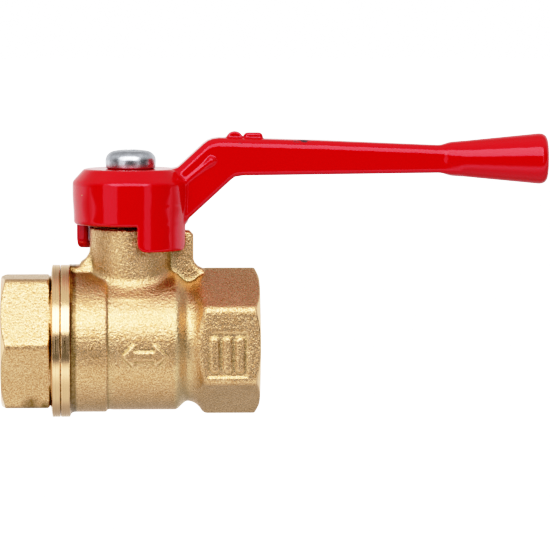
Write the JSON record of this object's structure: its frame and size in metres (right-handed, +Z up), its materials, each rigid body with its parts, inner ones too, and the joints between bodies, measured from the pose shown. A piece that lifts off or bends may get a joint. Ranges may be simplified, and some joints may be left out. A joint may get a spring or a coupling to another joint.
{
  "type": "lever ball valve",
  "caption": "Brass shutoff ball valve with female pipe threads and a red quarter-turn lever.",
  "frame": {"origin": "where the pipe axis meets the stem axis, at the centre of the ball", "axes": "+X along the pipe axis towards the lever's tip when the valve is open, +Z up the stem, +Y across the pipe"},
  "size_m": [0.1314, 0.0366, 0.0679],
  "materials": {
    "forged_brass": "satin",
    "turned_brass": "polished",
    "chromed_brass": "polished",
    "ptfe": "matte",
    "black_rubber": "matte",
    "red_paint": "gloss",
    "zinc_plate": "satin"
  },
  "bodies": {
    "housing": {"valve_body": "forged_brass", "end_connector": "forged_brass", "body_seal_ring": "ptfe", "inlet_seat": "ptfe", "outlet_seat": "ptfe", "packing_ring_lower": "ptfe", "packing_ring_upper": "ptfe", "gland_nut": "turned_brass"},
    "handle": {"lever_handle": "red_paint", "stem": "turned_brass", "handle_screw": "zinc_plate", "stem_thrust_washer": "ptfe", "stem_o_ring": "black_rubber"},
    "ball": {"ball": "chromed_brass"}
  },
  "joints": [
    {"name": "handle_turn", "type": "hinge", "parent": "housing", "child": "handle", "pos_m": [0, 0, 0], "axis": [0, 0, -1], "range_deg": [0, 90]},
    {"name": "ball_turn", "type": "hinge", "parent": "housing", "child": "ball", "pos_m": [0, 0, 0], "axis": [0, 0, -1], "range_deg": [0, 90]}
  ],
  "couplings": [
    {"joint": "ball_turn", "follows": "handle_turn", "ratio": 1}
  ]
}
